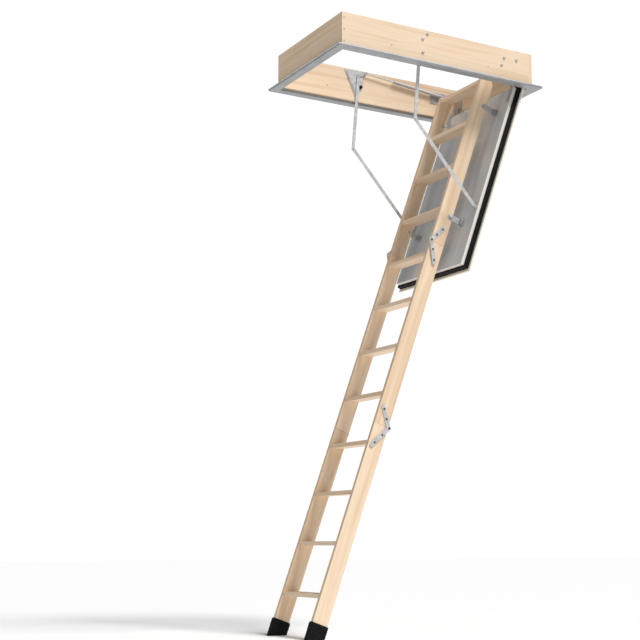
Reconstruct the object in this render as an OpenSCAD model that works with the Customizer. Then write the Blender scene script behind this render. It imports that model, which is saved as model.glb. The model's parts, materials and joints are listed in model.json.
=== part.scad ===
// Folding attic ladder: a ceiling hatch in a timber frame with a three-section wooden ladder on it.
// It is drawn open, with the ladder unfolded and standing on the floor.
// X runs along the frame and the hatch hinges are at +X. Z is up, and Z = 0 is the ceiling's surface.
// The origin is the centre of the ceiling opening. Left is +Y, as seen by someone who climbs.
// On the hatch and the ladder, s is the distance from the hinge axis down along the hatch,
// and n is the distance inwards from the hatch's outer face.

/* [Ceiling frame] */
// Outside length of the frame
frame_length = 1180; // [1120:5:1420]
// Outside width of the frame
frame_width = 680; // [640:5:820]
// Height of the frame boards
frame_height = 180; // [176:2:260]
// Thickness of the frame boards
board_t = 24; // [18:1:28]
// Radius of the fixing holes through the long boards
fixing_hole_r = 3.25; // [2.5:0.25:4]
// Distance of the fixing holes from the middle of the frame
fixing_hole_x = 300; // [200:5:350]
// Height of the fixing holes above the ceiling
fixing_hole_z = 60; // [45:5:75]

/* [Ceiling trim] */
// Thickness of the trim strips
trim_t = 14; // [10:1:18]
// Reach of the trim past the outside of the frame
trim_overhang = 38; // [25:1:60]
// Lap of the trim under the long boards and the latch-end board
trim_lap = 8; // [6:1:12]
// Reach of the hinge-end strip past the inner face of its board
hinge_strip_reach = 5.5; // [2:0.5:6]
// Radius of the ceiling screw holes in the trim
ceiling_screw_r = 2.25; // [1.75:0.25:3]
// Distance of the ceiling screw holes from the middle of the frame
ceiling_screw_x = 520; // [400:5:550]

/* [Hatch] */
// Angle between the open hatch and the ceiling
open_angle = 70; // [68:0.5:72]
// Distance of the hinge axis from the inner face of the hinge-end board
hinge_setback = 30; // [28:1:40]
// Height of the hinge axis above the hatch's outer face
pivot_drop = 16; // [15:0.5:18]
// Thickness of the outer panel
panel_t = 10; // [8:0.5:10]
// Gap between the outer panel and the trim around it
panel_gap = 4; // [3:0.5:6]
// Reach of the outer panel past the hinge axis
panel_nose = 16; // [12:1:18]
// Distance of the seal from the edge of the outer panel
seal_inset = 13.5; // [13:0.5:18]
// Width of the seal
seal_w = 12; // [8:1:14]
// Height of the seal
seal_t = 24; // [16:1:30]
// Distance of the seal from the hinge axis
seal_start = 10; // [8:1:16]
// Thickness of the insulating core
core_t = 41; // [30:1:46]
// Thickness of the sheet metal liner
liner_t = 1.5; // [0.8:0.1:2]

/* [Hatch hinges and latch] */
// Distance of each hatch hinge from the middle of the frame
hinge_y = 285; // [240:1:285]
// Thickness of the hinge strap
strap_t = 5; // [4:0.5:6]
// Length of the hinge strap along the hatch
strap_length = 110; // [80:5:140]
// Thickness of the bracket's ears
ear_t = 3.5; // [3:0.5:5]
// Radius of the hinge pins
hinge_pin_r = 3; // [2.5:0.25:3]
// Radius of the hinge knuckle
knuckle_r = 5.5; // [5:0.25:5.5]
// Distance of the latch spindle from the hinge axis
latch_s = 1040; // [900:5:1050]
// Radius of the latch spindle
spindle_r = 6; // [4:0.5:8]

/* [Ladder] */
// Clear width between the stiles
ladder_width = 360; // [300:5:420]
// Thickness of a stile
stile_t = 20; // [18:1:26]
// Depth of a stile
stile_depth = 82; // [70:1:100]
// Clearance between the hatch's inner face and the stiles
ladder_gap = 66.5; // [55:0.5:80]
// Thickness of a tread
tread_t = 20; // [16:1:26]
// Depth of a tread
tread_depth = 80; // [70:1:90]
// Depth of the tread housings in the stiles
tread_housing = 9; // [6:0.5:10]
// Distance between the treads along the stiles
tread_pitch = 262; // [215:1:315]
// Distance of the top tread from the hinge axis
first_tread_s = 15; // [10:1:30]
// Length of the middle section above its first tread
middle_lead = 61.5; // [50:0.5:90]
// Length of the bottom section above its first tread
bottom_lead = 92; // [70:1:110]
// Height of the lowest tread above the floor
lowest_rise = 212; // [150:2:260]
// Thickness of the rubber sole under a stile
sole_t = 12; // [8:1:16]
// Wall of the rubber foot
foot_wall = 4.5; // [3:0.5:6]
// Height of the rubber foot
foot_height = 60; // [45:1:80]

/* [Fold hinges] */
// Radius of the fold pins
fold_pin_r = 4; // [3:0.5:5]
// Height of the fold pins proud of the stile's edge
fold_proud = 2; // [1:0.5:4]
// Width of the fold leaves
leaf_w = 22; // [16:1:26]
// Thickness of the fold leaves
leaf_t = 3.5; // [2.5:0.5:5]
// Reach of the upper leaf along the stile
upper_leaf_reach = 92; // [70:1:110]
// Reach of the lower leaf along the stile
lower_leaf_reach = 110; // [90:1:130]
// Reach of the first fold's leaves across the stile
fold_1_drop = 54; // [40:1:60]
// Reach of the second fold's leaves across the stile
fold_2_drop = 64; // [40:1:66]

/* [Arms and struts] */
// Position of the upper arm's pivot along the frame
arm_pivot_x = -105; // [-115:1:-95]
// Height of the upper arm's pivot
arm_pivot_z = 150; // [145:1:155]
// Length of the upper arm between its pivots
upper_arm_length = 435; // [425:1:445]
// Length of the lower arm between its pivots
lower_arm_length = 537; // [530:1:550]
// Distance of the lower arm's anchor from the hinge axis
anchor_s = 757; // [745:1:770]
// Height of the lower arm's anchor above the hatch's outer face
anchor_n = 84; // [75:1:90]
// Width of the arms
arm_w = 18; // [14:1:22]
// Thickness of the arms
arm_t = 4; // [3:0.5:4]
// Radius of the arm and strut pins
arm_pin_r = 4; // [3:0.5:5]
// Thickness of the plates on the frame
plate_t = 4; // [3:0.5:5]
// Position of the strut's pivot along the frame
strut_x = 460; // [440:1:470]
// Height of the strut's pivot
strut_z = 114; // [100:1:120]
// Outside radius of the strut's tube
tube_r = 9; // [8:0.5:9]
// Length of the strut's tube
tube_length = 325; // [280:5:340]
// Radius of the strut's rod
rod_r = 4; // [3:0.5:5]

/* [Hidden] */
$fn = 48;
pin_clearance = 0.05;
hole_clearance = 0.2;
running_gap = 0.5;
section_gap = 0.5;
link_step = 0.01;

wood = "BurlyWood";
steel = "Silver";
dark_steel = "DimGray";
rubber = "#202020";
grey_trim = "Gray";

inner_x = frame_length / 2 - board_t;
inner_y = frame_width / 2 - board_t;
trim_out_x = frame_length / 2 + trim_overhang;
trim_out_y = frame_width / 2 + trim_overhang;
trim_in_x = frame_length / 2 - trim_lap;
trim_in_y = frame_width / 2 - trim_lap;
hinge_strip_x = inner_x - hinge_strip_reach;
ceiling_screw_y = (frame_width / 2 + trim_out_y) / 2;

pivot_x = inner_x - hinge_setback;
pivot_z = pivot_drop - trim_t;
panel_s = pivot_x + trim_in_x - panel_gap;
panel_y = trim_in_y - panel_gap;
seal_s = panel_s - seal_inset;
seal_y = panel_y - seal_inset;
core_n = panel_t + core_t;
core_s = seal_s - seal_w;
core_y = seal_y - seal_w;
core_start = seal_start + seal_w;
face_n = core_n + liner_t;

notch_s = 3;
strap_n = face_n + 9.5;
strap_flange_t = 3;
strap_flange_w = 30;
strap_flange_start = 34;
ear_y = strap_t / 2 + running_gap;
ear_w = 10;
ear_top_z = 60;
ear_bar_h = 12;
bracket_t = 4;
bracket_low_z = 40;
bracket_top_z = 120;
wood_screw_r = 2.5;
wood_screw_head_r = 5;
wood_screw_head_t = 2.5;

latch_case_l = 60;
latch_case_w = 50;
latch_case_t = 9.5;
latch_tongue_t = 4;
latch_tongue_w = 16;
latch_reach = 53;
latch_head_r = 14;
latch_head_t = 4;
strike_w = 50;
strike_ledge = 14;
strike_ledge_z = 43.5;
strike_top_z = 100;

stile_y = ladder_width / 2;
stile_out_y = stile_y + stile_t;
back_n = face_n + ladder_gap;
front_n = back_n + stile_depth;
tread_half = stile_y + tread_housing;
treads_in_section = 4;
tread_count = 3 * treads_in_section;
fold_1_s = tread_s(treads_in_section) - middle_lead;
fold_1_n = front_n + fold_proud;
fold_2_s = tread_s(2 * treads_in_section) - bottom_lead;
fold_2_n = back_n - fold_proud;
floor_z = world_z(tread_s(tread_count - 1), front_n) - lowest_rise;
upper_leaf_y = stile_out_y + hole_clearance;
lower_leaf_y = upper_leaf_y + leaf_t + 0.3;
leaf_screw_r = 3;
leaf_screw_l = 10;
leaf_screw_head_r = 6;
leaf_screw_head_t = 2.6;
leaf_pad_r = 9;

standoff_places = [first_tread_s + 0.54 * tread_pitch, tread_s(treads_in_section - 1) + 32];
standoff_w = 30;
standoff_t = 3;
standoff_top_n = back_n + 30;
standoff_bolt_n = back_n + 13;
standoff_foot_l = 34;
standoff_foot_t = 22.5;
standoff_foot_in = 10;
standoff_foot_out = 15;
bolt_r = 4;
bolt_head_r = 7;
bolt_head_t = 4;

plate_y = inner_y - plate_t;
upper_arm_y = plate_y - 2.5 - arm_t;
lower_arm_y = upper_arm_y - 1 - arm_t;
lug_y = lower_arm_y - running_gap - arm_t;
arm_pivot = [arm_pivot_x, arm_pivot_z];
anchor = [world_x(anchor_s, anchor_n), world_z(anchor_s, anchor_n)];
elbow = far_corner(arm_pivot, anchor, upper_arm_length, lower_arm_length);
crank = arm_pivot + [45, 15];
pin_head_r = 7;
pin_head_t = 1.8;
buffer_r = 10;
buffer_drop = 66;
arm_plate_outline = [[-86, 22], [36, 26], [30, -66], [1, -128], [-17, -128]];
arm_plate_bolts = [[22, 12], [-7, -20], [-7, -91]];
bracket_outline = [[-84, -40], [-84, 26], [39, 26], [39, -14], [-50, -40]];
bracket_bolts = [[-54, 14], [27, 14], [-71, -28]];
plate_bolt_head_r = 8;
plate_bolt_head_t = 1.8;
strut = [strut_x, strut_z];
strut_y = plate_y - plate_bolt_head_t - running_gap - tube_r;
eye_y = strut_y - arm_t / 2;
strut_length = norm(crank - strut);
strut_angle = atan2(crank[1] - strut[1], crank[0] - strut[0]);
strut_neck = 16;
tube_wall = 1.5;
tube_guide = 14;
rod_inside = 150;
piston_l = 18;

// Distance of a tread's front edge from the hinge axis, counted from 0 at the top
function tread_s(k) = first_tread_s + k * tread_pitch;

// A point of the open hatch or ladder, in the frame's X and Z
function world_x(s, n) = pivot_x - s * cos(open_angle) - (n - pivot_drop) * sin(open_angle);
function world_z(s, n) = pivot_z - s * sin(open_angle) + (n - pivot_drop) * cos(open_angle);

// Where a level plane at height z cuts the line at distance n
function s_at(n, z) = (pivot_z - z + (n - pivot_drop) * cos(open_angle)) / sin(open_angle);

// A point of the hatch's side view
function at(s, n) = [-s, n];

// The corner that lies at distances a from p and b from q, on the latch side
function far_corner(p, q, a, b) =
    let (gap = norm(q - p), along = (a * a - b * b + gap * gap) / (2 * gap))
    let (off = sqrt(a * a - along * along), way = (q - p) / gap)
    p + along * way + off * [way[1], -way[0]];

// Turns children from the closed hatch's own place to the open one
module on_hatch() {
    translate([pivot_x, 0, pivot_z])
        rotate([0, -open_angle, 0])
            translate([0, 0, -pivot_drop])
                children();
}

module mirrored() {
    mirror([0, 1, 0]) children();
}

module both_sides() {
    children();
    mirrored() children();
}

// A side-view outline made into a plate between two distances from the middle
module slab(y0, y1) {
    translate([0, y1, 0]) rotate([90, 0, 0]) linear_extrude(y1 - y0) children();
}

module y_rod(p, r, y0, y1) {
    translate([p[0], y1, p[1]]) rotate([90, 0, 0]) cylinder(r = r, h = y1 - y0);
}

module x_rod(y, z, r, x0, x1) {
    translate([x0, y, z]) rotate([0, 90, 0]) cylinder(r = r, h = x1 - x0);
}

// A bar with round ends
module link_outline(p, q, w) {
    translate(p) circle(r = w / 2);
    translate(q) circle(r = w / 2);
    translate(p)
        rotate(atan2(q[1] - p[1], q[0] - p[0]))
            translate([0, link_step - w / 2]) square([norm(q - p), w - 2 * link_step]);
}

module hatch_box(s0, s1, y, n0, n1) {
    translate([-s1, -y, n0]) cube([s1 - s0, 2 * y, n1 - n0]);
}

// Frame boards and trim

module mechanism_bolt_places() {
    for (p = arm_plate_bolts) translate([arm_pivot[0] + p[0], 0, arm_pivot[1] + p[1]]) children();
    for (p = bracket_bolts) translate([strut[0] + p[0], 0, strut[1] + p[1]]) children();
}

module latch_end_screw_places() {
    for (h = [1, 3, 5]) translate([board_t / 2 - frame_length / 2, 0, frame_height * h / 6]) children();
}

module hinge_end_screw_places() {
    for (h = [1, 3, 5]) translate([0, frame_width / 2 - board_t / 2, frame_height * h / 6]) children();
}

module latch_end_screw(grow) {
    y_rod([0, 0], wood_screw_r + grow, frame_width / 2 - board_t - 36, frame_width / 2);
    y_rod([0, 0], wood_screw_head_r + grow, frame_width / 2 - wood_screw_head_t, frame_width / 2);
}

module hinge_end_screw(grow) {
    x_rod(0, 0, wood_screw_r + grow, inner_x - 36, frame_length / 2);
    x_rod(0, 0, wood_screw_head_r + grow, frame_length / 2 - wood_screw_head_t, frame_length / 2);
}

module long_board() {
    color(wood) difference() {
        translate([-frame_length / 2, inner_y, 0]) cube([frame_length - board_t, board_t, frame_height]);
        mechanism_bolt_places() y_rod([0, 0], bolt_r + hole_clearance, inner_y - 1, frame_width / 2 + 1);
        for (side = [-1, 1])
            y_rod([side * fixing_hole_x, fixing_hole_z], fixing_hole_r, inner_y - 1, frame_width / 2 + 1);
        latch_end_screw_places() latch_end_screw(hole_clearance);
        hinge_end_screw_places() hinge_end_screw(hole_clearance);
    }
}

module board_far() {
    long_board();
}

module board_near() {
    mirrored() long_board();
}

module board_hinge_end() {
    color(wood) difference() {
        translate([inner_x, -frame_width / 2, 0]) cube([board_t, frame_width, frame_height]);
        both_sides() hinge_end_screw_places() hinge_end_screw(hole_clearance);
    }
}

module board_latch_end() {
    color(wood) difference() {
        translate([-frame_length / 2, -inner_y, 0]) cube([board_t, 2 * inner_y, frame_height]);
        both_sides() latch_end_screw_places() latch_end_screw(hole_clearance);
    }
}

module frame_screws() {
    color(steel) both_sides() {
        latch_end_screw_places() latch_end_screw(0);
        hinge_end_screw_places() hinge_end_screw(0);
    }
}

module trim_strip(outline) {
    color(grey_trim) translate([0, 0, -trim_t]) linear_extrude(trim_t) polygon(outline);
}

module side_trim() {
    difference() {
        trim_strip([
            [-trim_out_x, trim_out_y], [-trim_in_x, trim_in_y],
            [hinge_strip_x, trim_in_y], [trim_out_x, trim_out_y]
        ]);
        for (side = [-1, 1])
            translate([side * ceiling_screw_x, ceiling_screw_y, -trim_t - 1])
                cylinder(r = ceiling_screw_r, h = trim_t + 2);
    }
}

module trim_far() {
    side_trim();
}

module trim_near() {
    mirrored() side_trim();
}

module trim_hinge_end() {
    trim_strip([
        [trim_out_x, trim_out_y], [hinge_strip_x, trim_in_y],
        [hinge_strip_x, -trim_in_y], [trim_out_x, -trim_out_y]
    ]);
}

module trim_latch_end() {
    trim_strip([
        [-trim_out_x, trim_out_y], [-trim_in_x, trim_in_y],
        [-trim_in_x, -trim_in_y], [-trim_out_x, -trim_out_y]
    ]);
}

// Arm plates, struts and arms

module mechanism_bolts() {
    color(dark_steel) both_sides() mechanism_bolt_places() {
        y_rod([0, 0], bolt_r, plate_y - plate_bolt_head_t, frame_width / 2 + bolt_head_t);
        y_rod([0, 0], plate_bolt_head_r, plate_y - plate_bolt_head_t, plate_y);
        y_rod([0, 0], bolt_head_r, frame_width / 2, frame_width / 2 + bolt_head_t);
    }
}

module pivot_pin(p, tip_y) {
    y_rod(p, arm_pin_r, tip_y, plate_y);
    y_rod(p, pin_head_r, tip_y, tip_y + pin_head_t);
}

module arm_plate() {
    color(steel) {
        difference() {
            slab(plate_y, inner_y) translate(arm_pivot) polygon(arm_plate_outline);
            for (p = arm_plate_bolts)
                y_rod(arm_pivot + p, bolt_r + hole_clearance, plate_y - 1, inner_y + 1);
        }
        pivot_pin(arm_pivot, upper_arm_y - 0.2 - pin_head_t);
        y_rod(arm_pivot, pin_head_r, upper_arm_y + arm_t + 0.3, plate_y);
    }
}

module arm_plate_left() {
    arm_plate();
}

module arm_plate_right() {
    mirrored() arm_plate();
}

module arm_buffers() {
    way = (elbow - arm_pivot) / norm(elbow - arm_pivot);
    away = (arm_w / 2 + buffer_r + 0.3) * [-way[1], way[0]];
    color(rubber) both_sides()
        y_rod(arm_pivot + buffer_drop * way + away, buffer_r, upper_arm_y - 1, plate_y);
}

module spring_brackets() {
    color(steel) both_sides() {
        difference() {
            slab(plate_y, inner_y) translate(strut) polygon(bracket_outline);
            for (p = bracket_bolts) y_rod(strut + p, bolt_r + hole_clearance, plate_y - 1, inner_y + 1);
        }
        pivot_pin(strut, eye_y - 0.3 - pin_head_t);
        y_rod(strut, pin_head_r, eye_y + arm_t + 0.3, plate_y);
    }
}

// Turns children so that the strut lies along +X from its own pivot
module on_strut() {
    translate([strut[0], 0, strut[1]]) rotate([0, -strut_angle, 0]) children();
}

module spring_tube() {
    mouth = strut_neck + tube_length;
    color(dark_steel) on_strut() difference() {
        union() {
            slab(eye_y, eye_y + arm_t) link_outline([0, 0], [strut_neck + 2, 0], 2 * tube_r);
            x_rod(strut_y, 0, tube_r, strut_neck, mouth);
        }
        y_rod([0, 0], arm_pin_r + pin_clearance, eye_y - 1, eye_y + arm_t + 1);
        x_rod(strut_y, 0, tube_r - tube_wall, strut_neck + 6, mouth - tube_guide);
        x_rod(strut_y, 0, rod_r + pin_clearance, mouth - tube_guide - 1, mouth + 1);
    }
}

module spring_tube_left() {
    spring_tube();
}

module spring_tube_right() {
    mirrored() spring_tube();
}

module spring_rod() {
    tail = strut_neck + tube_length - rod_inside;
    color(steel) on_strut() difference() {
        union() {
            slab(eye_y, eye_y + arm_t) translate([strut_length, 0]) circle(r = tube_r);
            x_rod(strut_y, 0, rod_r, tail, strut_length - tube_r + 1);
            x_rod(strut_y, 0, tube_r - tube_wall - 0.3, tail, tail + piston_l);
        }
        y_rod([strut_length, 0], arm_pin_r + pin_clearance, eye_y - 1, eye_y + arm_t + 1);
    }
}

module spring_rod_left() {
    spring_rod();
}

module spring_rod_right() {
    mirrored() spring_rod();
}

module upper_arm() {
    color(steel) {
        difference() {
            slab(upper_arm_y, upper_arm_y + arm_t) {
                link_outline(arm_pivot, elbow, arm_w);
                link_outline(arm_pivot, crank, arm_w);
            }
            y_rod(arm_pivot, arm_pin_r + pin_clearance, upper_arm_y - 1, upper_arm_y + arm_t + 1);
        }
        for (p = [elbow, crank])
            y_rod(p, pin_head_r, upper_arm_y + arm_t, upper_arm_y + arm_t + pin_head_t);
    }
}

module upper_arm_left() {
    upper_arm();
}

module upper_arm_right() {
    mirrored() upper_arm();
}

module lower_arm() {
    color(steel) difference() {
        slab(lower_arm_y, lower_arm_y + arm_t) link_outline(anchor, elbow, arm_w);
        for (p = [anchor, elbow])
            y_rod(p, arm_pin_r + pin_clearance, lower_arm_y - 1, lower_arm_y + arm_t + 1);
    }
}

module lower_arm_left() {
    lower_arm();
}

module lower_arm_right() {
    mirrored() lower_arm();
}

// Hatch

module spindle_hole() {
    translate([-latch_s, 0, -1]) cylinder(r = spindle_r + 2 * pin_clearance, h = strap_n + 2);
}

module hatch_panel() {
    color("Ivory") on_hatch() difference() {
        hatch_box(-panel_nose, panel_s, panel_y, 0, panel_t);
        both_sides()
            translate([-notch_s, inner_y - running_gap, -1])
                cube([notch_s + panel_nose + 1, board_t, panel_t + 2]);
        spindle_hole();
    }
}

module hatch_core() {
    color("White") on_hatch() difference() {
        hatch_box(core_start, core_s, core_y, panel_t, core_n);
        spindle_hole();
    }
}

module hatch_liner() {
    color("LightGray") on_hatch() difference() {
        hatch_box(core_start, core_s, core_y, core_n, face_n);
        spindle_hole();
    }
}

module hatch_seal() {
    color(rubber) on_hatch() difference() {
        hatch_box(seal_start, seal_s, seal_y, panel_t, panel_t + seal_t);
        hatch_box(core_start, core_s, core_y, panel_t - 1, panel_t + seal_t + 1);
    }
}

module hinge_strap() {
    difference() {
        union() {
            slab(hinge_y - strap_t / 2, hinge_y + strap_t / 2) {
                translate([0, pivot_drop]) circle(r = knuckle_r);
                translate([-strap_t, pivot_drop]) square([2 * strap_t, strap_n - pivot_drop]);
                translate([-strap_length, face_n]) square([strap_length + strap_t, strap_n - face_n]);
            }
            translate([-strap_length, hinge_y - strap_flange_w / 2, face_n])
                cube([strap_length - strap_flange_start, strap_flange_w, strap_flange_t]);
        }
        y_rod([0, pivot_drop], hinge_pin_r + pin_clearance, hinge_y - strap_t, hinge_y + strap_t);
    }
}

module hinge_straps() {
    color(steel) on_hatch() both_sides() hinge_strap();
}

module hinge_bracket() {
    difference() {
        union() {
            for (y = [hinge_y - ear_y - ear_t, hinge_y + ear_y])
                slab(y, y + ear_t) {
                    translate([pivot_x, pivot_z]) circle(r = knuckle_r);
                    translate([pivot_x - ear_w / 2, pivot_z]) square([ear_w, ear_top_z - pivot_z]);
                    translate([pivot_x - ear_w / 2, ear_top_z - ear_bar_h])
                        square([inner_x - bracket_t - pivot_x + ear_w / 2, ear_bar_h]);
                }
            translate([inner_x - bracket_t, hinge_y - strap_flange_w / 2, bracket_low_z])
                cube([bracket_t, strap_flange_w, bracket_top_z - bracket_low_z]);
        }
        y_rod([pivot_x, pivot_z], hinge_pin_r + pin_clearance, hinge_y - 20, hinge_y + 20);
    }
}

module hinge_brackets() {
    color(steel) both_sides() hinge_bracket();
}

module hinge_pins() {
    reach = ear_y + ear_t;
    color(dark_steel) both_sides() {
        y_rod([pivot_x, pivot_z], hinge_pin_r, hinge_y - reach - 1.5, hinge_y + reach + 1.5);
        y_rod([pivot_x, pivot_z], knuckle_r, hinge_y - reach - 1.5, hinge_y - reach);
        y_rod([pivot_x, pivot_z], knuckle_r, hinge_y + reach, hinge_y + reach + 1.5);
    }
}

module latch_case() {
    color(dark_steel) on_hatch() difference() {
        translate([-latch_s - latch_case_l / 2, -latch_case_w / 2, face_n])
            cube([latch_case_l, latch_case_w, latch_case_t]);
        translate([-latch_s, 0, face_n - 1])
            cylinder(r = spindle_r + 2 * pin_clearance, h = latch_case_t + 2);
    }
}

module latch_spindle() {
    tongue_n = face_n + latch_case_t + running_gap;
    color(steel) on_hatch() {
        translate([-latch_s, 0, -latch_head_t]) {
            cylinder(r = spindle_r, h = tongue_n + latch_tongue_t + latch_head_t);
            cylinder(r = latch_head_r, h = latch_head_t);
        }
        translate([-latch_s - latch_reach, -latch_tongue_w / 2, tongue_n])
            cube([latch_reach, latch_tongue_w, latch_tongue_t]);
        translate([-latch_s, 0, tongue_n]) cylinder(r = latch_tongue_w / 2, h = latch_tongue_t);
    }
}

module strike_plate() {
    color(steel) translate([-inner_x, -strike_w / 2, strike_ledge_z]) {
        cube([bracket_t, strike_w, strike_top_z - strike_ledge_z]);
        cube([bracket_t + strike_ledge, strike_w, bracket_t]);
    }
}

module arm_anchors() {
    color(steel) on_hatch() both_sides() {
        slab(lug_y, lug_y + arm_t) {
            translate(at(anchor_s, anchor_n)) circle(r = arm_w / 2);
            translate([-anchor_s - arm_w / 2, face_n]) square([arm_w, anchor_n - face_n]);
        }
        translate([-anchor_s - 30, lug_y - 26, face_n]) cube([60, 26 + arm_t, 3]);
        y_rod(at(anchor_s, anchor_n), arm_pin_r, lug_y, lower_arm_y + arm_t + 0.3);
    }
}

// Ladder

module tread_block(k) {
    translate([-tread_s(k), 0, front_n])
        rotate([0, open_angle, 0])
            translate([0, -tread_half, -tread_t])
                cube([tread_depth, 2 * tread_half, tread_t]);
}

module tread(k) {
    color(wood) on_hatch() tread_block(k);
}

module section_treads(section) {
    first = section * treads_in_section;
    for (k = [first : first + treads_in_section - 1]) tread_block(k);
}

// The point a share of the way along a leaf
function leaf_point(pin, reach, drop, share) = at(pin[0] + share * reach, pin[1] + share * drop);

module leaf_screw_places(pin, reach, drop) {
    for (share = [0.42, 0.88]) {
        p = leaf_point(pin, reach, drop, share);
        translate([p[0], 0, p[1]]) children();
    }
}

module leaf_screw_holes(pin, reach, drop) {
    leaf_screw_places(pin, reach, drop)
        y_rod([0, 0], leaf_screw_r + hole_clearance, stile_out_y - leaf_screw_l, stile_out_y + 1);
}

fold_1 = [fold_1_s, fold_1_n];
fold_2 = [fold_2_s, fold_2_n];

module upper_stile() {
    color(wood) on_hatch() difference() {
        slab(stile_y, stile_out_y) polygon([
            at(4, front_n), at(-10, back_n + stile_depth / 2), at(12, back_n),
            at(fold_1_s - section_gap, back_n), at(fold_1_s - section_gap, front_n)
        ]);
        section_treads(0);
        leaf_screw_holes(fold_1, -upper_leaf_reach, -fold_1_drop);
        for (s = standoff_places)
            y_rod(at(s, standoff_bolt_n), bolt_r + hole_clearance, stile_y - 1, stile_out_y + 1);
    }
}

module middle_stile() {
    color(wood) on_hatch() difference() {
        slab(stile_y, stile_out_y) polygon([
            at(fold_1_s + section_gap, front_n), at(fold_1_s + section_gap, back_n),
            at(fold_2_s - section_gap, back_n), at(fold_2_s - section_gap, front_n)
        ]);
        section_treads(1);
        leaf_screw_holes(fold_1, lower_leaf_reach, -fold_1_drop);
        leaf_screw_holes(fold_2, -upper_leaf_reach, fold_2_drop);
    }
}

module bottom_stile_blank() {
    heel_z = floor_z + sole_t;
    slab(stile_y, stile_out_y) polygon([
        at(fold_2_s + section_gap, front_n), at(fold_2_s + section_gap, back_n),
        at(s_at(back_n, heel_z), back_n), at(s_at(front_n, heel_z), front_n)
    ]);
}

module bottom_stile() {
    color(wood) on_hatch() difference() {
        bottom_stile_blank();
        section_treads(2);
        leaf_screw_holes(fold_2, lower_leaf_reach, fold_2_drop);
    }
}

module foot() {
    low_n = back_n - foot_wall;
    high_n = front_n + foot_wall;
    top_s = s_at(low_n, floor_z) - foot_height;
    color(rubber) on_hatch() difference() {
        slab(stile_y - foot_wall, stile_out_y + foot_wall) polygon([
            at(top_s, high_n), at(top_s, low_n),
            at(s_at(low_n, floor_z), low_n), at(s_at(high_n, floor_z), high_n)
        ]);
        bottom_stile_blank();
    }
}

module upper_stile_left() {
    upper_stile();
}

module upper_stile_right() {
    mirrored() upper_stile();
}

module middle_stile_left() {
    middle_stile();
}

module middle_stile_right() {
    mirrored() middle_stile();
}

module bottom_stile_left() {
    bottom_stile();
}

module bottom_stile_right() {
    mirrored() bottom_stile();
}

module foot_left() {
    foot();
}

module foot_right() {
    mirrored() foot();
}

module leaf_outline(pin, reach, drop) {
    link_outline(at(pin[0], pin[1]), leaf_point(pin, reach, drop, 1), leaf_w);
}

// A leaf that lies on the stile, with the fold pin and its wood screws
module inner_leaf(pin, reach, drop) {
    slab(upper_leaf_y, upper_leaf_y + leaf_t) leaf_outline(pin, reach, drop);
    y_rod(at(pin[0], pin[1]), fold_pin_r, upper_leaf_y, lower_leaf_y + leaf_t + 0.3);
    y_rod(
        at(pin[0], pin[1]), pin_head_r,
        lower_leaf_y + leaf_t + 0.3, lower_leaf_y + leaf_t + 0.3 + pin_head_t
    );
    leaf_screw_places(pin, reach, drop) {
        y_rod([0, 0], leaf_screw_r, stile_out_y - leaf_screw_l + 0.5, upper_leaf_y + leaf_t);
        y_rod([0, 0], leaf_screw_head_r, upper_leaf_y + leaf_t, upper_leaf_y + leaf_t + leaf_screw_head_t);
    }
}

// A leaf that turns outside the other one, standing on pads
module outer_leaf(pin, reach, drop) {
    difference() {
        slab(lower_leaf_y, lower_leaf_y + leaf_t) leaf_outline(pin, reach, drop);
        y_rod(
            at(pin[0], pin[1]), fold_pin_r + pin_clearance,
            lower_leaf_y - 1, lower_leaf_y + leaf_t + 1
        );
    }
    leaf_screw_places(pin, reach, drop) {
        y_rod([0, 0], leaf_pad_r, stile_out_y, lower_leaf_y);
        y_rod([0, 0], leaf_screw_r, stile_out_y - leaf_screw_l + 0.5, lower_leaf_y + leaf_t);
        y_rod([0, 0], leaf_screw_head_r, lower_leaf_y + leaf_t, lower_leaf_y + leaf_t + leaf_screw_head_t);
    }
}

module fold_leaves_1_upper() {
    color(steel) on_hatch() both_sides() inner_leaf(fold_1, -upper_leaf_reach, -fold_1_drop);
}

module fold_leaves_1_lower() {
    color(steel) on_hatch() both_sides() outer_leaf(fold_1, lower_leaf_reach, -fold_1_drop);
}

module fold_leaves_2_upper() {
    color(steel) on_hatch() both_sides() inner_leaf(fold_2, -upper_leaf_reach, fold_2_drop);
}

module fold_leaves_2_lower() {
    color(steel) on_hatch() both_sides() outer_leaf(fold_2, lower_leaf_reach, fold_2_drop);
}

// Standoffs between the hatch and the upper stiles

module standoff_strap(s) {
    translate([-s - standoff_w / 2, stile_out_y, face_n + 6])
        cube([standoff_w, standoff_t, standoff_top_n - face_n - 6]);
}

module standoffs() {
    color(steel) on_hatch() both_sides() for (s = standoff_places) difference() {
        standoff_strap(s);
        y_rod(at(s, standoff_bolt_n), bolt_r + hole_clearance, stile_out_y - 1, stile_out_y + standoff_t + 1);
    }
}

module standoff_feet() {
    color(dark_steel) on_hatch() both_sides() for (s = standoff_places) difference() {
        translate([-s - standoff_foot_l / 2, stile_out_y - standoff_foot_in, face_n])
            cube([standoff_foot_l, standoff_foot_in + standoff_foot_out, standoff_foot_t]);
        standoff_strap(s);
    }
}

module standoff_bolts() {
    outer_y = stile_out_y + standoff_t;
    color(dark_steel) on_hatch() both_sides() for (s = standoff_places) {
        y_rod(at(s, standoff_bolt_n), bolt_r, stile_y - bolt_head_t, outer_y + bolt_head_t);
        y_rod(at(s, standoff_bolt_n), bolt_head_r, outer_y, outer_y + bolt_head_t);
        y_rod(at(s, standoff_bolt_n), bolt_head_r, stile_y - bolt_head_t, stile_y);
    }
}

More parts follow.
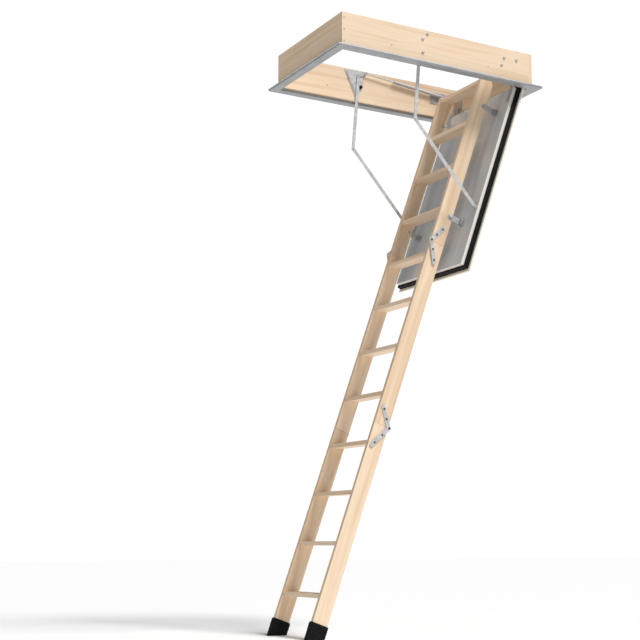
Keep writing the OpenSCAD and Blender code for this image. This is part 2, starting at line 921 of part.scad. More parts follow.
board_near();
board_far();
board_hinge_end();
board_latch_end();
trim_near();
trim_far();
trim_hinge_end();
trim_latch_end();
frame_screws();
mechanism_bolts();
arm_plate_left();
arm_plate_right();
spring_brackets();
spring_tube_left();
spring_tube_right();
spring_rod_left();
spring_rod_right();
arm_buffers();
hinge_brackets();
hinge_pins();
strike_plate();
hatch_panel();
hatch_core();
hatch_liner();
hatch_seal();
hinge_straps();
standoffs();
standoff_feet();
standoff_bolts();
arm_anchors();
latch_case();
latch_spindle();
upper_stile_left();
upper_stile_right();
middle_stile_left();
middle_stile_right();
bottom_stile_left();
bottom_stile_right();
tread(0);  // tread_1
tread(1);  // tread_2
tread(2);  // tread_3
tread(3);  // tread_4
tread(4);  // tread_5
tread(5);  // tread_6
tread(6);  // tread_7
tread(7);  // tread_8
tread(8);  // tread_9
tread(9);  // tread_10
tread(10);  // tread_11
tread(11);  // tread_12
fold_leaves_1_upper();
fold_leaves_1_lower();
fold_leaves_2_upper();
fold_leaves_2_lower();
foot_left();
foot_right();
upper_arm_left();
upper_arm_right();
lower_arm_left();
lower_arm_right();
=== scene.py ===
import json
import math

import bmesh
import bpy
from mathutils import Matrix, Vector


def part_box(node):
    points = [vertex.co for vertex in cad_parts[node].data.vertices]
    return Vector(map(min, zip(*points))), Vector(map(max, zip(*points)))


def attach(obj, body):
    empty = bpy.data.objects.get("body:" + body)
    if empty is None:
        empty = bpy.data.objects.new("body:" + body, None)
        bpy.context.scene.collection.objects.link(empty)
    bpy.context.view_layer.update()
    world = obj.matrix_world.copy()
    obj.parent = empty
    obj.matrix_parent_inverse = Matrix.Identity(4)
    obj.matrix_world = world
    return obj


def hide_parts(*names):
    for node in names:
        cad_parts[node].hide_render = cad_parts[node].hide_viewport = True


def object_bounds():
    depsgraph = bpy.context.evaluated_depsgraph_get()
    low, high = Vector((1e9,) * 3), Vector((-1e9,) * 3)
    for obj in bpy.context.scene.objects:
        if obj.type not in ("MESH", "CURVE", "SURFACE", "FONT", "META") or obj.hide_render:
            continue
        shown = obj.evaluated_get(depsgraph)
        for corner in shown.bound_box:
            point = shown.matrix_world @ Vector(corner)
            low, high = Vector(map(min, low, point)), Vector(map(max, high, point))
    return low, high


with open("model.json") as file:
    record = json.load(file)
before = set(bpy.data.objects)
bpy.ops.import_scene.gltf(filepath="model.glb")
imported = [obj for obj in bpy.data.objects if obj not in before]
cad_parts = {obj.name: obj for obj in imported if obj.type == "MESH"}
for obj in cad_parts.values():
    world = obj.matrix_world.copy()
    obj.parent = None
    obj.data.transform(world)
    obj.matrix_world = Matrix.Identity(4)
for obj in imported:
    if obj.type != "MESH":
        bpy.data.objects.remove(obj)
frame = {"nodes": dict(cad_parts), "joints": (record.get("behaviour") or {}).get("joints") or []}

cad_low, cad_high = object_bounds()
nodes = frame["nodes"]
joints = {j["name"]: j for j in frame["joints"]}

# Directions of the open hatch: down along it towards the floor, and out of its inner face
hinge_point = Vector(joints["hatch_swing"]["pos_m"])
latch_axis = Vector(joints["latch_turn"]["axis"]).normalized()
out_axis = latch_axis if latch_axis.x < 0 else -latch_axis
down_axis = Vector((0.0, 1.0, 0.0)).cross(latch_axis).normalized()
if down_axis.z > 0:
    down_axis = -down_axis
hatch_tilt = math.atan2(-down_axis.z, -down_axis.x)


# Node helpers

def new_material(name, base, roughness, metallic=0.0):
    """A material with its shader's plain values set, and its node tree, shader and object coordinates."""
    material = bpy.data.materials.new(name)
    material.use_nodes = True
    tree = material.node_tree
    shader = tree.nodes["Principled BSDF"]
    shader.inputs["Base Color"].default_value = (*base, 1.0)
    shader.inputs["Roughness"].default_value = roughness
    shader.inputs["Metallic"].default_value = metallic
    coords = tree.nodes.new("ShaderNodeTexCoord").outputs["Object"]
    return material, tree, shader, coords


def mapping(tree, vector, scale=(1, 1, 1), rotation=(0, 0, 0), location=(0, 0, 0)):
    node = tree.nodes.new("ShaderNodeMapping")
    node.inputs["Scale"].default_value = scale
    node.inputs["Rotation"].default_value = rotation
    node.inputs["Location"].default_value = location
    tree.links.new(vector, node.inputs["Vector"])
    return node.outputs["Vector"]


def noise(tree, vector, scale, detail=4.0, roughness=0.5, distortion=0.0):
    node = tree.nodes.new("ShaderNodeTexNoise")
    node.inputs["Scale"].default_value = scale
    node.inputs["Detail"].default_value = detail
    node.inputs["Roughness"].default_value = roughness
    node.inputs["Distortion"].default_value = distortion
    tree.links.new(vector, node.inputs["Vector"])
    return node.outputs["Fac"]


def ramp(tree, value, stops):
    """A colour ramp, from a list of (position, colour)."""
    node = tree.nodes.new("ShaderNodeValToRGB")
    elements = node.color_ramp.elements
    while len(elements) < len(stops):
        elements.new(0.5)
    for element, (position, colour) in zip(elements, stops):
        element.position = position
        element.color = (*colour, 1.0)
    tree.links.new(value, node.inputs["Fac"])
    return node.outputs["Color"]


def grey_ramp(tree, value, low, high, dark=0.0, light=1.0):
    return ramp(tree, value, [(low, (dark,) * 3), (high, (light,) * 3)])


def mix(tree, factor, first, second, blend="MIX"):
    node = tree.nodes.new("ShaderNodeMix")
    node.data_type = "RGBA"
    node.blend_type = blend
    for name, value in (("Factor", factor), ("A", first), ("B", second)):
        wanted = "VALUE" if name == "Factor" else "RGBA"
        socket = next(s for s in node.inputs if s.name == name and s.type == wanted)
        if isinstance(value, bpy.types.NodeSocket):
            tree.links.new(value, socket)
        elif wanted == "VALUE":
            socket.default_value = value
        else:
            socket.default_value = (*value, 1.0)
    return next(s for s in node.outputs if s.type == "RGBA")


def bump(tree, shader, height, strength, distance):
    node = tree.nodes.new("ShaderNodeBump")
    node.inputs["Strength"].default_value = strength
    node.inputs["Distance"].default_value = distance
    tree.links.new(height, node.inputs["Height"])
    tree.links.new(node.outputs["Normal"], shader.inputs["Normal"])


# Materials

PALE_WOOD = (0.80, 0.605, 0.415)
LIGHT_WOOD = (0.86, 0.685, 0.50)
DARK_WOOD = (0.60, 0.38, 0.20)
# Growth rings for each metre across the grain
ACROSS = 26.0


def spruce(name, turn, seed):
    """Planed spruce. turn brings the grain along the texture's X, and seed shifts the pattern."""
    material, tree, shader, coords = new_material(name, PALE_WOOD, 0.5)
    along = mapping(tree, coords, rotation=turn, location=(seed * 1.7, seed * 0.9, seed * 2.3))
    stretched = mapping(tree, along, scale=(0.9, ACROSS, ACROSS))
    rings = noise(tree, stretched, 1.0, detail=3.0, distortion=1.1)
    lines = tree.nodes.new("ShaderNodeTexWave")
    lines.bands_direction = "Y"
    lines.inputs["Scale"].default_value = 1.35
    lines.inputs["Distortion"].default_value = 5.0
    lines.inputs["Detail"].default_value = 2.0
    lines.inputs["Detail Scale"].default_value = 0.7
    tree.links.new(stretched, lines.inputs["Vector"])
    base = ramp(tree, rings, [(0.30, (0.77, 0.565, 0.38)), (0.50, LIGHT_WOOD), (0.72, (0.82, 0.60, 0.42))])
    grain = grey_ramp(tree, lines.outputs["Fac"], 0.50, 1.0, 0.0, 0.34)
    colour = mix(tree, grain, base, DARK_WOOD)
    fibres = noise(tree, mapping(tree, along, scale=(6.0, 420.0, 420.0)), 1.0, detail=2.0)
    colour = mix(tree, grey_ramp(tree, fibres, 0.45, 0.8, 0.0, 0.16), colour, (0.70, 0.48, 0.27))
    # Knots: a few small brown ovals, longer along the grain
    cells = tree.nodes.new("ShaderNodeTexVoronoi")
    cells.inputs["Scale"].default_value = 1.0
    tree.links.new(mapping(tree, along, scale=(3.0, 7.5, 7.5)), cells.inputs["Vector"])
    knot = grey_ramp(tree, cells.outputs["Distance"], 0.02, 0.085, 0.62, 0.0)
    colour = mix(tree, knot, colour, (0.42, 0.22, 0.09))
    tree.links.new(colour, shader.inputs["Base Color"])
    tree.links.new(grey_ramp(tree, fibres, 0.2, 0.8, 0.42, 0.6), shader.inputs["Roughness"])
    bump(tree, shader, mix(tree, 0.5, lines.outputs["Color"], fibres), 0.12, 0.0006)
    return material


def zinc(name, base=(0.50, 0.505, 0.51), rough=(0.36, 0.50)):
    """Galvanised sheet steel with its soft mottled spangle and fine rolling lines."""
    material, tree, shader, coords = new_material(name, base, 0.34, 0.4)
    patches = noise(tree, coords, 55.0, detail=3.0, roughness=0.55)
    rolled = noise(tree, mapping(tree, coords, scale=(40.0, 900.0, 40.0)), 1.0, detail=2.0)
    darker = tuple(c * 0.86 for c in base)
    lighter = tuple(min(1.0, c * 1.12) for c in base)
    colour = ramp(tree, patches, [(0.3, darker), (0.52, base), (0.74, lighter)])
    tree.links.new(colour, shader.inputs["Base Color"])
    tree.links.new(grey_ramp(tree, patches, 0.3, 0.7, *rough), shader.inputs["Roughness"])
    bump(tree, shader, rolled, 0.08, 0.0003)
    return material


def blackened(name):
    """Dark oiled bolts and castings, with lighter worn places."""
    material, tree, shader, coords = new_material(name, (0.10, 0.10, 0.105), 0.42, 0.7)
    wear = noise(tree, coords, 160.0, detail=5.0, roughness=0.65)
    colour = ramp(tree, wear, [
        (0.35, (0.055, 0.055, 0.06)), (0.6, (0.13, 0.13, 0.135)), (0.8, (0.30, 0.30, 0.31))])
    tree.links.new(colour, shader.inputs["Base Color"])
    tree.links.new(grey_ramp(tree, wear, 0.3, 0.8, 0.5, 0.3), shader.inputs["Roughness"])
    bump(tree, shader, wear, 0.15, 0.0004)
    return material


def trim_grey(name, highlight_lift=1.0):
    """Satin grey moulding, slightly uneven. The lift factor brightens it, to paint a highlight."""
    material, tree, shader, coords = new_material(name, (0.50, 0.52, 0.54), 0.38)
    uneven = noise(tree, coords, 14.0, detail=4.0)
    fine = noise(tree, coords, 700.0, detail=2.0)
    low = tuple(c * highlight_lift for c in (0.25, 0.256, 0.262))
    high = tuple(c * highlight_lift for c in (0.32, 0.327, 0.333))
    colour = ramp(tree, uneven, [(0.3, low), (0.7, high)])
    tree.links.new(colour, shader.inputs["Base Color"])
    tree.links.new(grey_ramp(tree, fine, 0.3, 0.7, 0.30, 0.44), shader.inputs["Roughness"])
    bump(tree, shader, fine, 0.05, 0.0002)
    return material


def sheet_liner(name):
    """Smooth grey coated sheet, with broad soft streaks of light painted into its colour: a painted
    reflection.
    """
    material, tree, shader, coords = new_material(name, (0.50, 0.51, 0.54), 0.24, 0.15)
    broad = noise(tree, mapping(tree, coords, scale=(1.2, 7.0, 1.2)), 1.0, detail=2.0, distortion=0.4)
    fine = noise(tree, coords, 260.0, detail=3.0)
    # Painted reflection: the broad noise lightens the base colour in soft streaks.
    colour = ramp(tree, broad, [
        (0.34, (0.51, 0.53, 0.55)), (0.5, (0.66, 0.68, 0.70)), (0.66, (0.82, 0.83, 0.84))])
    tree.links.new(colour, shader.inputs["Base Color"])
    tree.links.new(grey_ramp(tree, fine, 0.3, 0.7, 0.20, 0.30), shader.inputs["Roughness"])
    shader.inputs["Coat Weight"].default_value = 0.4
    shader.inputs["Coat Roughness"].default_value = 0.12
    bump(tree, shader, broad, 0.06, 0.003)
    return material


def cream_board(name):
    """Cream painted outer board with a faint orange-peel."""
    material, tree, shader, coords = new_material(name, (0.86, 0.80, 0.69), 0.45)
    cloud = noise(tree, coords, 5.0, detail=3.0)
    peel = noise(tree, coords, 520.0, detail=2.0)
    colour = ramp(tree, cloud, [(0.3, (0.83, 0.76, 0.64)), (0.7, (0.89, 0.83, 0.73))])
    tree.links.new(colour, shader.inputs["Base Color"])
    tree.links.new(grey_ramp(tree, peel, 0.3, 0.7, 0.38, 0.52), shader.inputs["Roughness"])
    bump(tree, shader, peel, 0.10, 0.0003)
    return material


def foam_core(name):
    """White bead foam, seen along the hatch's edge."""
    material, tree, shader, coords = new_material(name, (0.88, 0.88, 0.86), 0.75)
    beads = tree.nodes.new("ShaderNodeTexVoronoi")
    beads.feature = "DISTANCE_TO_EDGE"
    beads.inputs["Scale"].default_value = 320.0
    tree.links.new(coords, beads.inputs["Vector"])
    edge = grey_ramp(tree, beads.outputs["Distance"], 0.0, 0.12, 0.0, 1.0)
    tree.links.new(mix(tree, edge, (0.68, 0.64, 0.58), (0.84, 0.80, 0.74)), shader.inputs["Base Color"])
    bump(tree, shader, edge, 0.25, 0.0004)
    return material


def rubber(name, base=(0.005, 0.005, 0.005)):
    """Black rubber, dull with a fine pebble."""
    material, tree, shader, coords = new_material(name, base, 0.6)
    shader.inputs["Specular IOR Level"].default_value = 0.12
    dust = noise(tree, coords, 30.0, detail=5.0, roughness=0.6)
    pebble = noise(tree, coords, 900.0, detail=2.0)
    pale = tuple(c + 0.006 for c in base)
    tree.links.new(ramp(tree, dust, [(0.4, base), (0.8, pale)]), shader.inputs["Base Color"])
    tree.links.new(grey_ramp(tree, pebble, 0.3, 0.7, 0.48, 0.66), shader.inputs["Roughness"])
    bump(tree, shader, pebble, 0.22, 0.0003)
    return material


# Rotations that bring a board's grain along the texture's X
ALONG_X = (0.0, 0.0, 0.0)
ALONG_Y = (0.0, 0.0, -math.pi / 2)
ALONG_SLOPE = (0.0, hatch_tilt, 0.0)

STEEL = zinc("galvanised_steel")
BRIGHT_STEEL = zinc("bright_zinc", base=(0.66, 0.67, 0.68), rough=(0.32, 0.46))
DARK_STEEL = blackened("dark_steel")
RUBBER = rubber("black_rubber")
GREY = trim_grey("grey_trim")
# The bead's grey is the trim grey made 2.3 times lighter: a painted highlight on the trim's outer lip.
PAINTED_HIGHLIGHT_GREY = trim_grey("bead_grey_painted_highlight", 2.3)
BLOCK_GREY = zinc("block_grey", base=(0.34, 0.34, 0.345), rough=(0.42, 0.55))
LINK_STEEL = zinc("link_zinc", base=(0.52, 0.52, 0.525), rough=(0.40, 0.52))
GRIP_WOOD = spruce("spruce_grips", ALONG_Y, 9.0)

# The CAD nodes, by what they are made of

WOODEN = [n for n in sorted(nodes) if n.startswith(("board_", "tread_")) or "stile" in n]
TRIM = ("trim_near", "trim_far", "trim_hinge_end", "trim_latch_end")
ARMS = ("upper_arm_left", "upper_arm_right", "lower_arm_left", "lower_arm_right")
ARM_PLATES = ("arm_plate_left", "arm_plate_right")
LEAVES = ("fold_leaves_1_upper", "fold_leaves_1_lower", "fold_leaves_2_upper", "fold_leaves_2_lower")
FEET = ("foot_left", "foot_right")
PLAIN_STEEL = ("spring_brackets", "hinge_brackets", "strike_plate", "hinge_straps", "arm_anchors",
               "latch_spindle", "frame_screws", "mechanism_bolts", "spring_tube_left", "spring_tube_right")
BRIGHT = (*LEAVES, *ARMS, "spring_rod_left", "spring_rod_right", *ARM_PLATES)
BLACKENED = ("hinge_pins", "standoff_bolts", "latch_case")
SHEET_STEEL = (*ARMS, *ARM_PLATES, "hinge_straps", "hinge_brackets", "strike_plate", "latch_case")
WOOD_EDGE = 0.0015
TRIM_EDGE = 0.0015
STEEL_EDGE = 0.0008
EDGE_ANGLE = math.radians(40)


def paint(name, material):
    mesh = nodes[name].data
    mesh.materials.clear()
    mesh.materials.append(material)


def round_edges(piece, width, segments, harden):
    """Rounds a piece's sharp edges a little, as the real part's are."""
    bevel = piece.modifiers.new("soft_edges", "BEVEL")
    bevel.width = width
    bevel.segments = segments
    bevel.limit_method = "ANGLE"
    bevel.angle_limit = EDGE_ANGLE
    bevel.harden_normals = harden


def soften(name, width):
    round_edges(nodes[name], width, 2, False)


def grain_of(name):
    if name in ("board_near", "board_far"):
        return ALONG_X
    if "stile" in name:
        return ALONG_SLOPE
    return ALONG_Y


def finish_cad_nodes():
    for number, wooden in enumerate(WOODEN):
        paint(wooden, spruce("spruce_" + wooden, grain_of(wooden), 1.0 + number * 0.37))
        soften(wooden, WOOD_EDGE)
    for parts, material in ((TRIM, GREY), (PLAIN_STEEL, STEEL), (BRIGHT, BRIGHT_STEEL),
                            (BLACKENED, DARK_STEEL), (("hatch_seal", "arm_buffers", *FEET), RUBBER)):
        for part in parts:
            paint(part, material)
    paint("hatch_panel", cream_board("cream_panel"))
    paint("hatch_core", foam_core("white_core"))
    paint("hatch_liner", sheet_liner("grey_liner"))
    for part in SHEET_STEEL:
        soften(part, STEEL_EDGE)
    for strip in TRIM:
        soften(strip, TRIM_EDGE)


# Shapes for the detail pieces, in metres

# A CAD mesh repeats the points along its sharp edges: points nearer than this are one
WELD = 0.00002


def islands(name):
    """The middle, lowest corner, highest corner and points of each solid of a CAD node, in a fixed order."""
    work = bmesh.new()
    work.from_mesh(nodes[name].data)
    bmesh.ops.remove_doubles(work, verts=work.verts, dist=WELD)
    seen = set()
    found = []
    for start in work.verts:
        if start in seen:
            continue
        seen.add(start)
        stack = [start]
        points = []
        while stack:
            vertex = stack.pop()
            points.append(vertex.co.copy())
            for edge in vertex.link_edges:
                other = edge.other_vert(vertex)
                if other not in seen:
                    seen.add(other)
                    stack.append(other)
        low = Vector([min(p[i] for p in points) for i in range(3)])
        high = Vector([max(p[i] for p in points) for i in range(3)])
        found.append(((low + high) / 2, low, high, points))
    work.free()
    found.sort(key=lambda item: tuple(round(value, 4) for value in item[0]))
    return found


def outward(place):
    """The direction along Y that leads away from the middle of the ladder."""
    return 1 if place.y > 0 else -1


def lathe(work, centre, axis, profile, segments=24):
    """Adds a closed turned shape: profile is a list of (radius, height), first and last on the axis."""
    axis = axis.normalized()
    side = axis.orthogonal().normalized()
    third = axis.cross(side)
    rings = []
    for radius, height in profile:
        base = centre + axis * height
        if radius == 0:
            rings.append([work.verts.new(base)])
            continue
        ring = []
        for step in range(segments):
            angle = 2 * math.pi * step / segments
            ring.append(work.verts.new(base + (side * math.cos(angle) + third * math.sin(angle)) * radius))
        rings.append(ring)
    for first, second in zip(rings, rings[1:]):
        for step in range(segments):
            after = (step + 1) % segments
            corners = [first[step % len(first)], first[after % len(first)],
                       second[after % len(second)], second[step % len(second)]]
            corners = list(dict.fromkeys(corners))
            if len(corners) > 2:
                work.faces.new(corners)


def pan_head(work, centre, axis, radius, height, segments=24):
    """A screw's domed head with a round socket, standing on the plane through centre."""
    lathe(work, centre, axis, [
        (0, 0.30 * height), (0.34 * radius, 0.34 * height), (0.40 * radius, 0.98 * height),
        (0.62 * radius, height), (0.84 * radius, 0.78 * height), (0.97 * radius, 0.42 * height),
        (radius, 0.0), (0.9 * radius, -0.3 * height), (0, -0.3 * height)], segments)


def hex_nut(work, centre, axis, radius, height):
    """A six-sided nut with a chamfered top and the bolt's round end."""
    lathe(work, centre, axis, [
        (0, -0.1 * height), (radius, -0.1 * height), (radius, 0.85 * height), (0.86 * radius, height),
        (0, height)], 6)
    lathe(work, centre, axis, [
        (0, 0.9 * height), (0.5 * radius, 0.9 * height), (0.5 * radius, 1.25 * height),
        (0.4 * radius, 1.4 * height), (0, 1.4 * height)], 20)


def prism(work, outline, y_one, y_other):
    """Adds a closed shape with a flat outline of (x, z) points, from one Y to another."""
    ends = [[work.verts.new((x, y, z)) for x, z in outline] for y in (y_one, y_other)]
    work.faces.new(ends[0])
    work.faces.new(ends[1])
    for i in range(len(outline)):
        j = (i + 1) % len(outline)
        work.faces.new((ends[0][i], ends[0][j], ends[1][j], ends[1][i]))


def half_round(centre, radius, height, steps):
    """Points of a half-round outline, as (across, up) pairs."""
    angles = [math.pi * step / steps for step in range(steps + 1)]
    return [(centre[0] + radius * math.cos(a), centre[1] + height * math.sin(a)) for a in angles]


def from_hatch(s, n):
    """The (x, z) of a point at s down the hatch and n out of its inner face, from the hinge line."""
    point = hinge_point + down_axis * s + out_axis * n
    return point.x, point.z


def to_hatch(points):
    """The lowest and highest s and n of some points."""
    ways = [Vector(p) - hinge_point for p in points]
    s = [way.dot(down_axis) for way in ways]
    n = [way.dot(out_axis) for way in ways]
    return min(s), max(s), min(n), max(n)


def block_on_hatch(work, s_ends, y_ends, n_ends):
    """Adds a block square to the hatch, from its ends down the hatch, along Y and out of its inner face."""
    outline = [(s_ends[0], n_ends[0]), (s_ends[1], n_ends[0]), (s_ends[1], n_ends[1]), (s_ends[0], n_ends[1])]
    prism(work, [from_hatch(s, n) for s, n in outline], *y_ends)


def finish_piece(name, work, material, body, smooth=35.0, bevel=None):
    """Turns the work into a piece that rides on a body. An edge over smooth degrees stays sharp."""
    bmesh.ops.recalc_face_normals(work, faces=work.faces)
    mesh = bpy.data.meshes.new(name)
    work.to_mesh(mesh)
    work.free()
    piece = bpy.data.objects.new(name, mesh)
    bpy.context.scene.collection.objects.link(piece)
    mesh.materials.append(material)
    if bevel:
        round_edges(piece, bevel, 3, True)
    for polygon in mesh.polygons:
        polygon.use_smooth = True
    mesh.set_sharp_from_angle(angle=math.radians(smooth))
    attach(piece, body)
    return piece


# Detail pieces

BEAD_R = 0.0028
BEAD_PROUD = 0.0022
BEAD_SUNK = 0.0006
BEAD_DROP = 0.0003
BEAD_ROOT = 0.002
BEAD_STEPS = 8


def ring_round_trim(work, low, high, out, z):
    return [work.verts.new(point) for point in (
        (low.x - out, low.y - out, z), (high.x + out, low.y - out, z),
        (high.x + out, high.y + out, z), (low.x - out, high.y + out, z))]


def build_trim_beads():
    """A rounded bead along the trim's outer edge, painted lighter than the trim as a painted highlight."""
    work = bmesh.new()
    low = Vector([min(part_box(n)[0][i] for n in TRIM) for i in range(3)])
    high = Vector([max(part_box(n)[1][i] for n in TRIM) for i in range(3)])
    top = high.z - BEAD_DROP
    rings = []
    for step in range(BEAD_STEPS + 1):
        angle = math.pi * (step / BEAD_STEPS - 0.5)
        out = BEAD_PROUD * math.cos(angle) - BEAD_SUNK
        rings.append(ring_round_trim(work, low, high, out, top - BEAD_R + BEAD_R * math.sin(angle)))
    rings.append(ring_round_trim(work, low, high, -BEAD_ROOT, top))
    rings.append(ring_round_trim(work, low, high, -BEAD_ROOT, top - 2 * BEAD_R))
    for number, ring in enumerate(rings):
        after = rings[(number + 1) % len(rings)]
        for i in range(4):
            j = (i + 1) % 4
            work.faces.new((ring[i], ring[j], after[j], after[i]))
    finish_piece("trim_beads", work, PAINTED_HIGHLIGHT_GREY, "frame", smooth=50.0)


LEAF_W = 0.022
SCREW_SHARES = (0.42, 0.88)
SCREW_R = 0.0056
SCREW_H = 0.0016
RIVET_R = 0.0062
RIVET_H = 0.0014
HEAD_REACH = 0.0075
FOLDS = (("fold_leaves_1_upper", "hatch", "middle_fold"),
         ("fold_leaves_1_lower", "middle_section", "middle_fold"),
         ("fold_leaves_2_upper", "middle_section", "bottom_fold"),
         ("fold_leaves_2_lower", "bottom_section", "bottom_fold"))


def head_face(corners, head):
    """How far out a leaf's screw heads stand, from the leaf's corners near one of them."""
    return max(abs(c.y) for c in corners if math.hypot(c.x - head.x, c.z - head.z) < HEAD_REACH)


def build_leaf_screws():
    """Dark screws on the fold hinges' leaves, and a domed rivet on each fold pin."""
    for leaf, body, joint in FOLDS:
        pin = Vector(joints[joint]["pos_m"])
        work = bmesh.new()
        for sign in (-1, 1):
            axis = Vector((0.0, sign, 0.0))
            corners = [v.co for v in nodes[leaf].data.vertices if v.co.y * sign > 0]
            ways = [Vector((c.x - pin.x, 0.0, c.z - pin.z)) for c in corners]
            reach = max(ways, key=lambda way: way.length)
            length = reach.length - LEAF_W / 2
            heads = [pin + reach.normalized() * length * share for share in SCREW_SHARES]
            face_y = sign * head_face(corners, heads[0])
            for head in heads:
                pan_head(work, Vector((head.x, face_y, head.z)), axis, SCREW_R, SCREW_H)
            if leaf.endswith("upper"):
                pin_y = sign * max(abs(c.y) for c in corners)
                pan_head(work, Vector((pin.x, pin_y, pin.z)), axis, RIVET_R, RIVET_H)
        finish_piece("screws_of_" + leaf, work, DARK_STEEL, body)


NUT_R = 0.0078
NUT_H = 0.0022
NUT_SUNK = 0.0015
BOLT_CAP_R = 0.0070
BOLT_CAP_H = 0.0004
STANDOFF_CAP_R = 0.0066
STANDOFF_CAP_H = 0.0016


def build_bolt_ends():
    """Nuts outside the frame, low caps inside it, and pan heads on the standoffs' bolts."""
    work = bmesh.new()
    for middle, low, high, _ in islands("mechanism_bolts"):
        sign = outward(middle)
        outer, inner = (high.y, low.y) if sign > 0 else (low.y, high.y)
        axis = Vector((0.0, sign, 0.0))
        hex_nut(work, Vector((middle.x, outer, middle.z)) - axis * NUT_SUNK, axis, NUT_R, NUT_H)
        pan_head(work, Vector((middle.x, inner, middle.z)), -axis, BOLT_CAP_R, BOLT_CAP_H)
    finish_piece("frame_nuts", work, STEEL, "frame", smooth=30.0)
    work = bmesh.new()
    for middle, low, high, _ in islands("standoff_bolts"):
        for edge, way in ((low.y, -1), (high.y, 1)):
            end = Vector((middle.x, edge, middle.z))
            pan_head(work, end, Vector((0.0, way, 0.0)), STANDOFF_CAP_R, STANDOFF_CAP_H)
    finish_piece("standoff_heads", work, BRIGHT_STEEL, "hatch")


STIFFENER_HALF_W = 0.003
STIFFENER_H = 0.0012
STIFFENER_START = 0.018
STIFFENER_END = 0.012
LINK_STEPS = 18
BLOCK_FLANGE = 0.006
BLOCK_STEP = 0.002
BLOCK_START = 0.004
BLOCK_EDGE = 0.0025


def build_standoffs():
    """Round-ended sheet links with a pressed stiffener, each with a stepped block at the hatch."""
    work = bmesh.new()
    for middle, low, high, points in islands("standoffs"):
        sign = outward(middle)
        s_low, s_high, n_low, n_high = to_hatch(points)
        s_mid = (s_low + s_high) / 2
        half = (s_high - s_low) / 2
        round_n = n_high - half
        outline = [(s_low, n_low), (s_high, n_low)]
        outline += half_round((s_mid, round_n), half, half, LINK_STEPS)
        prism(work, [from_hatch(s, n) for s, n in outline], low.y, high.y)
        face_y = high.y if sign > 0 else low.y
        block_on_hatch(work, (s_mid - STIFFENER_HALF_W, s_mid + STIFFENER_HALF_W),
                       (face_y, face_y + sign * STIFFENER_H),
                       (n_low + STIFFENER_START, round_n - STIFFENER_END))
    piece = finish_piece("standoff_links", work, LINK_STEEL, "hatch")
    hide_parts("standoffs")
    work = bmesh.new()
    for middle, low, high, points in islands("standoff_feet"):
        s_low, s_high, n_low, n_high = to_hatch(points)
        block_on_hatch(work, (s_low, s_high), (low.y, high.y), (n_low, n_low + BLOCK_FLANGE))
        block_on_hatch(work, (s_low + BLOCK_STEP, s_high - BLOCK_STEP),
                       (low.y + BLOCK_STEP, high.y - BLOCK_STEP), (n_low + BLOCK_START, n_high))
    piece = finish_piece("standoff_blocks", work, BLOCK_GREY, "hatch", bevel=BLOCK_EDGE)
    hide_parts("standoff_feet")


SECTIONS = ("hatch", "middle_section", "bottom_section")
TREADS_IN_SECTION = 4
GRIPS = 3
GRIP_START = 0.014
GRIP_PITCH = 0.013
GRIP_R = 0.002
GRIP_H = 0.0009
GRIP_SUNK = 0.0002
GRIP_END_GAP = 0.006
GRIP_STEPS = 8


def build_tread_grips():
    """Narrow rounded grip strips along each tread's top."""
    half_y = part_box("upper_stile_left")[0].y - GRIP_END_GAP
    for section, body in enumerate(SECTIONS):
        work = bmesh.new()
        for number in range(TREADS_IN_SECTION):
            low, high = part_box("tread_%d" % (section * TREADS_IN_SECTION + number + 1))
            for grip in range(GRIPS):
                middle = (low.x + GRIP_START + grip * GRIP_PITCH, high.z - GRIP_SUNK)
                prism(work, half_round(middle, GRIP_R, GRIP_H, GRIP_STEPS), -half_y, half_y)
        finish_piece("tread_grips_" + body, work, GRIP_WOOD, body)


RIBS = 3
RIB_PITCH = 0.010
RIB_W = 0.005
RIB_PROUD = 0.0012
RIB_EDGE = 0.0008


def build_foot_ribs():
    """Raised bands round each rubber foot."""
    work = bmesh.new()
    for name in FEET:
        low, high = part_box(name)
        top_s, _, n_low, n_high = to_hatch(v.co for v in nodes[name].data.vertices)
        for rib in range(RIBS):
            s = top_s + (rib + 1) * RIB_PITCH
            block_on_hatch(work, (s, s + RIB_W), (low.y - RIB_PROUD, high.y + RIB_PROUD),
                           (n_low - RIB_PROUD, n_high + RIB_PROUD))
    finish_piece("foot_ribs", work, RUBBER, "bottom_section", bevel=RIB_EDGE)


PLATE_SIDE_REACH = 0.01
PLATE_CORNER_REACH = 0.004
PLATE_RIB_INSET = 0.007
PLATE_RIB_HALF_W = 0.004
PLATE_RIB_TOP_GAP = 0.012
PLATE_RIB_FOOT_GAP = 0.006
PLATE_RIB_PROUD = 0.0018
PLATE_RIB_SUNK = 0.0004
PLATE_RIB_EDGE = 0.0007


def build_arm_plate_ribs():
    """A shallow pressed rib along the sloping edge of each arm plate."""
    work = bmesh.new()
    for name in ARM_PLATES:
        low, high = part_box(name)
        sign = outward(low + high)
        corners = [v.co for v in nodes[name].data.vertices]
        face = min(abs(c.y) for c in corners if c.x < low.x + PLATE_SIDE_REACH)
        top = max((c for c in corners if c.x < low.x + PLATE_CORNER_REACH), key=lambda c: c.z)
        foot = min((c for c in corners if c.z < low.z + PLATE_CORNER_REACH), key=lambda c: c.x)
        way = Vector((foot.x - top.x, 0.0, foot.z - top.z)).normalized()
        across = Vector((-way.z, 0.0, way.x))
        if across.x < 0:
            across = -across
        start = top + way * PLATE_RIB_TOP_GAP + across * PLATE_RIB_INSET
        end = foot - way * PLATE_RIB_FOOT_GAP + across * PLATE_RIB_INSET
        side = across * PLATE_RIB_HALF_W
        outline = [(p.x, p.z) for p in (start - side, start + side, end + side, end - side)]
        prism(work, outline, sign * (face + PLATE_RIB_SUNK), sign * (face - PLATE_RIB_PROUD))
    finish_piece("arm_plate_ribs", work, STEEL, "frame", bevel=PLATE_RIB_EDGE)


# Floor, light and camera

FLOOR_SIZE = 60.0
FLOOR_GAP = 0.0005


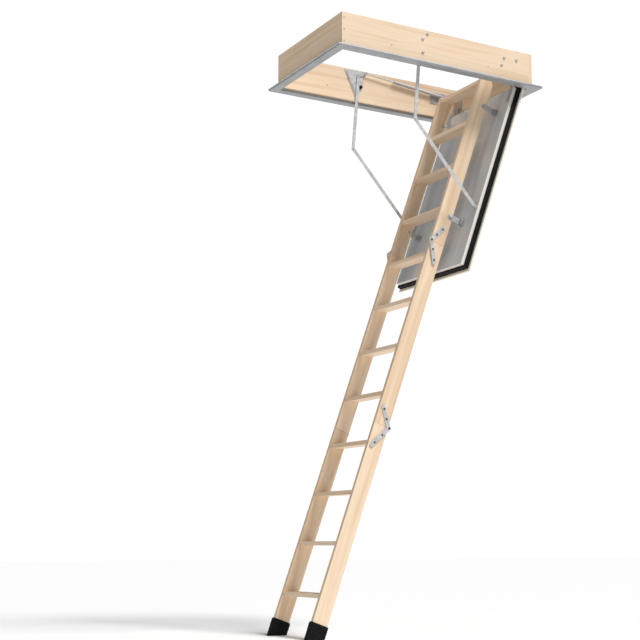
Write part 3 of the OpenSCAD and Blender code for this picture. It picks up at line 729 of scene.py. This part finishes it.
def build_floor():
    mesh = bpy.data.meshes.new("floor")
    half = FLOOR_SIZE / 2
    corners = [(-half, -half, 0), (half, -half, 0), (half, half, 0), (-half, half, 0)]
    mesh.from_pydata(corners, [], [(0, 1, 2, 3)])
    floor = bpy.data.objects.new("floor", mesh)
    bpy.context.scene.collection.objects.link(floor)
    floor.location.z = cad_low.z - FLOOR_GAP
    material, tree, shader, coords = new_material("pale_floor", (0.98, 0.98, 0.98), 0.8)
    cloud = noise(tree, coords, 0.6, detail=2.0)
    colour = ramp(tree, cloud, [(0.3, (0.984, 0.984, 0.984)), (0.7, (0.99, 0.99, 0.99))])
    tree.links.new(colour, shader.inputs["Base Color"])
    mesh.materials.append(material)


def sun_light(name, towards, strength, angle):
    """A broad distant lamp. towards points from the object to the lamp."""
    data = bpy.data.lights.new(name, "SUN")
    data.energy = strength
    data.angle = math.radians(angle)
    lamp = bpy.data.objects.new(name, data)
    bpy.context.scene.collection.objects.link(lamp)
    lamp.rotation_euler = Vector(towards).to_track_quat("Z", "Y").to_euler()


AMBIENT = 0.25
BACKGROUND = 1.05
KEY_TOWARDS = (0.27, -0.50, 0.82)
KEY_STRENGTH = 3.1
KEY_ANGLE = 20.0


def build_world():
    """White to the camera, and a softer even light on the object."""
    world = bpy.data.worlds.new("studio")
    bpy.context.scene.world = world
    world.use_nodes = True
    tree = world.node_tree
    tree.nodes["Background"].inputs["Color"].default_value = (1.0, 1.0, 1.0, 1.0)
    path = tree.nodes.new("ShaderNodeLightPath")
    level = tree.nodes.new("ShaderNodeMapRange")
    level.inputs["To Min"].default_value = AMBIENT
    level.inputs["To Max"].default_value = BACKGROUND
    tree.links.new(path.outputs["Is Camera Ray"], level.inputs["Value"])
    tree.links.new(level.outputs["Result"], tree.nodes["Background"].inputs["Strength"])


def build_light():
    build_world()
    sun_light("key", KEY_TOWARDS, KEY_STRENGTH, KEY_ANGLE)


CAMERA_PLACE = (-3.6623, -5.5838, -2.4264)
CAMERA_YAW = math.radians(29.34)
CAMERA_PITCH = math.radians(8.46)
CAMERA_LENS = 72.81
CAMERA_SHIFT = 0.05


def build_camera():
    data = bpy.data.cameras.new("camera")
    data.sensor_width = 36.0
    data.lens = CAMERA_LENS
    data.shift_y = CAMERA_SHIFT
    data.clip_end = 200.0
    camera = bpy.data.objects.new("camera", data)
    bpy.context.scene.collection.objects.link(camera)
    camera.location = CAMERA_PLACE
    camera.rotation_euler = (math.pi / 2 + CAMERA_PITCH, 0.0, -CAMERA_YAW)
    bpy.context.scene.camera = camera


finish_cad_nodes()
build_trim_beads()
build_leaf_screws()
build_bolt_ends()
build_standoffs()
build_tread_grips()
build_foot_ribs()
build_arm_plate_ribs()
build_floor()
build_light()
build_camera()
bpy.context.scene.view_settings.view_transform = "Standard"
